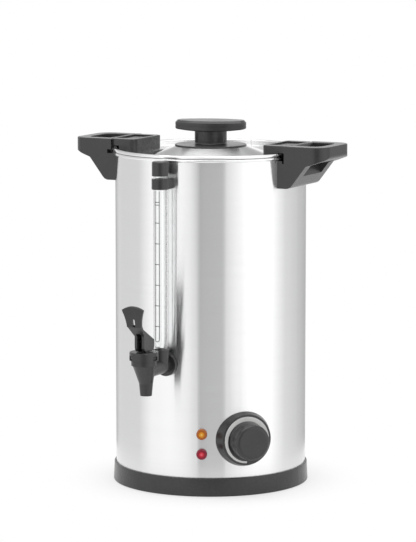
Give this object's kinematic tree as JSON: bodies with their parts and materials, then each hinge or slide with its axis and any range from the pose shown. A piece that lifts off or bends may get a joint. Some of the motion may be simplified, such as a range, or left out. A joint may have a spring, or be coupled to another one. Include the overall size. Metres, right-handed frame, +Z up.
{
  "type": "hot drink dispenser",
  "caption": "Cylindrical stainless hot-drinks boiler on a dark base ring, with a lever tap, clear sight gauge, heat dial, indicator lamps, lift-off lid and side handles.",
  "frame": {"origin": "on the floor under the boiler's axis", "axes": "+Z up along the boiler's axis, the tap towards -Y, the carrying handles along +X and -X"},
  "size_m": [0.336, 0.3384, 0.4381],
  "materials": {
    "brushed_steel": "brushed round the boiler",
    "tank_steel": "mill finish",
    "fastener_steel": "bright zinc",
    "black_plastic": "satin, fine moulded grain",
    "pale_print": "pad print",
    "clear_tube": "clear drawn tube",
    "amber_lens": "clear amber",
    "red_lens": "clear red",
    "lamp_plastic": "plain",
    "button_red": "plain",
    "wire_sheath": "silicone sheath",
    "black_rubber": "moulded",
    "white_silicone": "moulded",
    "heater_aluminium": "rolled",
    "sensor_copper": "drawn copper"
  },
  "bodies": {
    "boiler": {"boiler_shell": "brushed_steel", "tank_floor": "tank_steel", "bottom_plate": "tank_steel", "heating_element": "tank_steel", "bottom_plate_screws": "fastener_steel", "thermostat_screws": "fastener_steel", "clip_screw": "fastener_steel", "handle_screws": "fastener_steel", "lamp_nuts": "fastener_steel", "return_spring": "fastener_steel", "base_ring": "black_plastic", "dial_bezel": "black_plastic", "tap_body": "black_plastic", "bonnet": "black_plastic", "tube_cap": "black_plastic", "tube_clip": "black_plastic", "handle_left": "black_plastic", "handle_right": "black_plastic", "cable_gland": "black_plastic", "gland_nut": "black_plastic", "shank_nut": "black_plastic", "thermostat_body": "black_plastic", "cutout_body": "black_plastic", "dial_mark": "pale_print", "sight_tube": "clear_tube", "amber_lens": "amber_lens", "red_lens": "red_lens", "lamp_bodies": "lamp_plastic", "terminal_block": "lamp_plastic", "internal_wires": "wire_sheath", "rubber_feet": "black_rubber", "tap_gasket": "black_rubber", "tank_gasket": "white_silicone", "tube_seal": "white_silicone", "heating_plate": "heater_aluminium", "sensor_bulb": "sensor_copper"},
    "lid_carrier": {"knob_screw": "fastener_steel"},
    "lid": {"lid": "brushed_steel", "knob_flange": "black_plastic", "lid_knob": "black_plastic", "lid_lug_left": "black_plastic", "lid_lug_right": "black_plastic", "lug_screws": "fastener_steel"},
    "valve": {"stem": "black_plastic", "seat_cup": "white_silicone"},
    "tap_lever": {"lever": "black_plastic", "lever_pin": "black_plastic"},
    "heat_knob": {"control_knob": "black_plastic", "thermostat_shaft": "fastener_steel"},
    "reset": {"reset_button": "button_red"}
  },
  "joints": [
    {"name": "lid_lift", "type": "slide", "parent": "boiler", "child": "lid_carrier", "axis": [0, 0, 1], "range_m": [0, 0.15]},
    {"name": "lid_twist", "type": "hinge", "parent": "lid_carrier", "child": "lid", "pos_m": [0, 0, 0.4052], "axis": [0, 0, 1], "continuous": true},
    {"name": "stem_lift", "type": "slide", "parent": "boiler", "child": "valve", "axis": [0, 0, 1], "range_m": [0, 0.00305], "stiffness_N_per_m": 150, "springref_m": -0.005, "deforming": ["return_spring"]},
    {"name": "lever_tilt", "type": "hinge", "parent": "valve", "child": "tap_lever", "pos_m": [0, -0.174, 0.1898], "axis": [1, 0, 0], "range_deg": [0, 35]},
    {"name": "knob_turn", "type": "hinge", "parent": "boiler", "child": "heat_knob", "pos_m": [0, 0, 0.069], "axis": [-0.729, 0.6845, 0], "range_deg": [0, 270]},
    {"name": "reset_press", "type": "slide", "parent": "boiler", "child": "reset", "axis": [0, 0, 1], "range_m": [0, 0.002], "stiffness_N_per_m": 600, "springref_m": -0.001}
  ],
  "couplings": [
    {"joint": "lever_tilt", "follows": "stem_lift", "rad_per_m": 200}
  ]
}
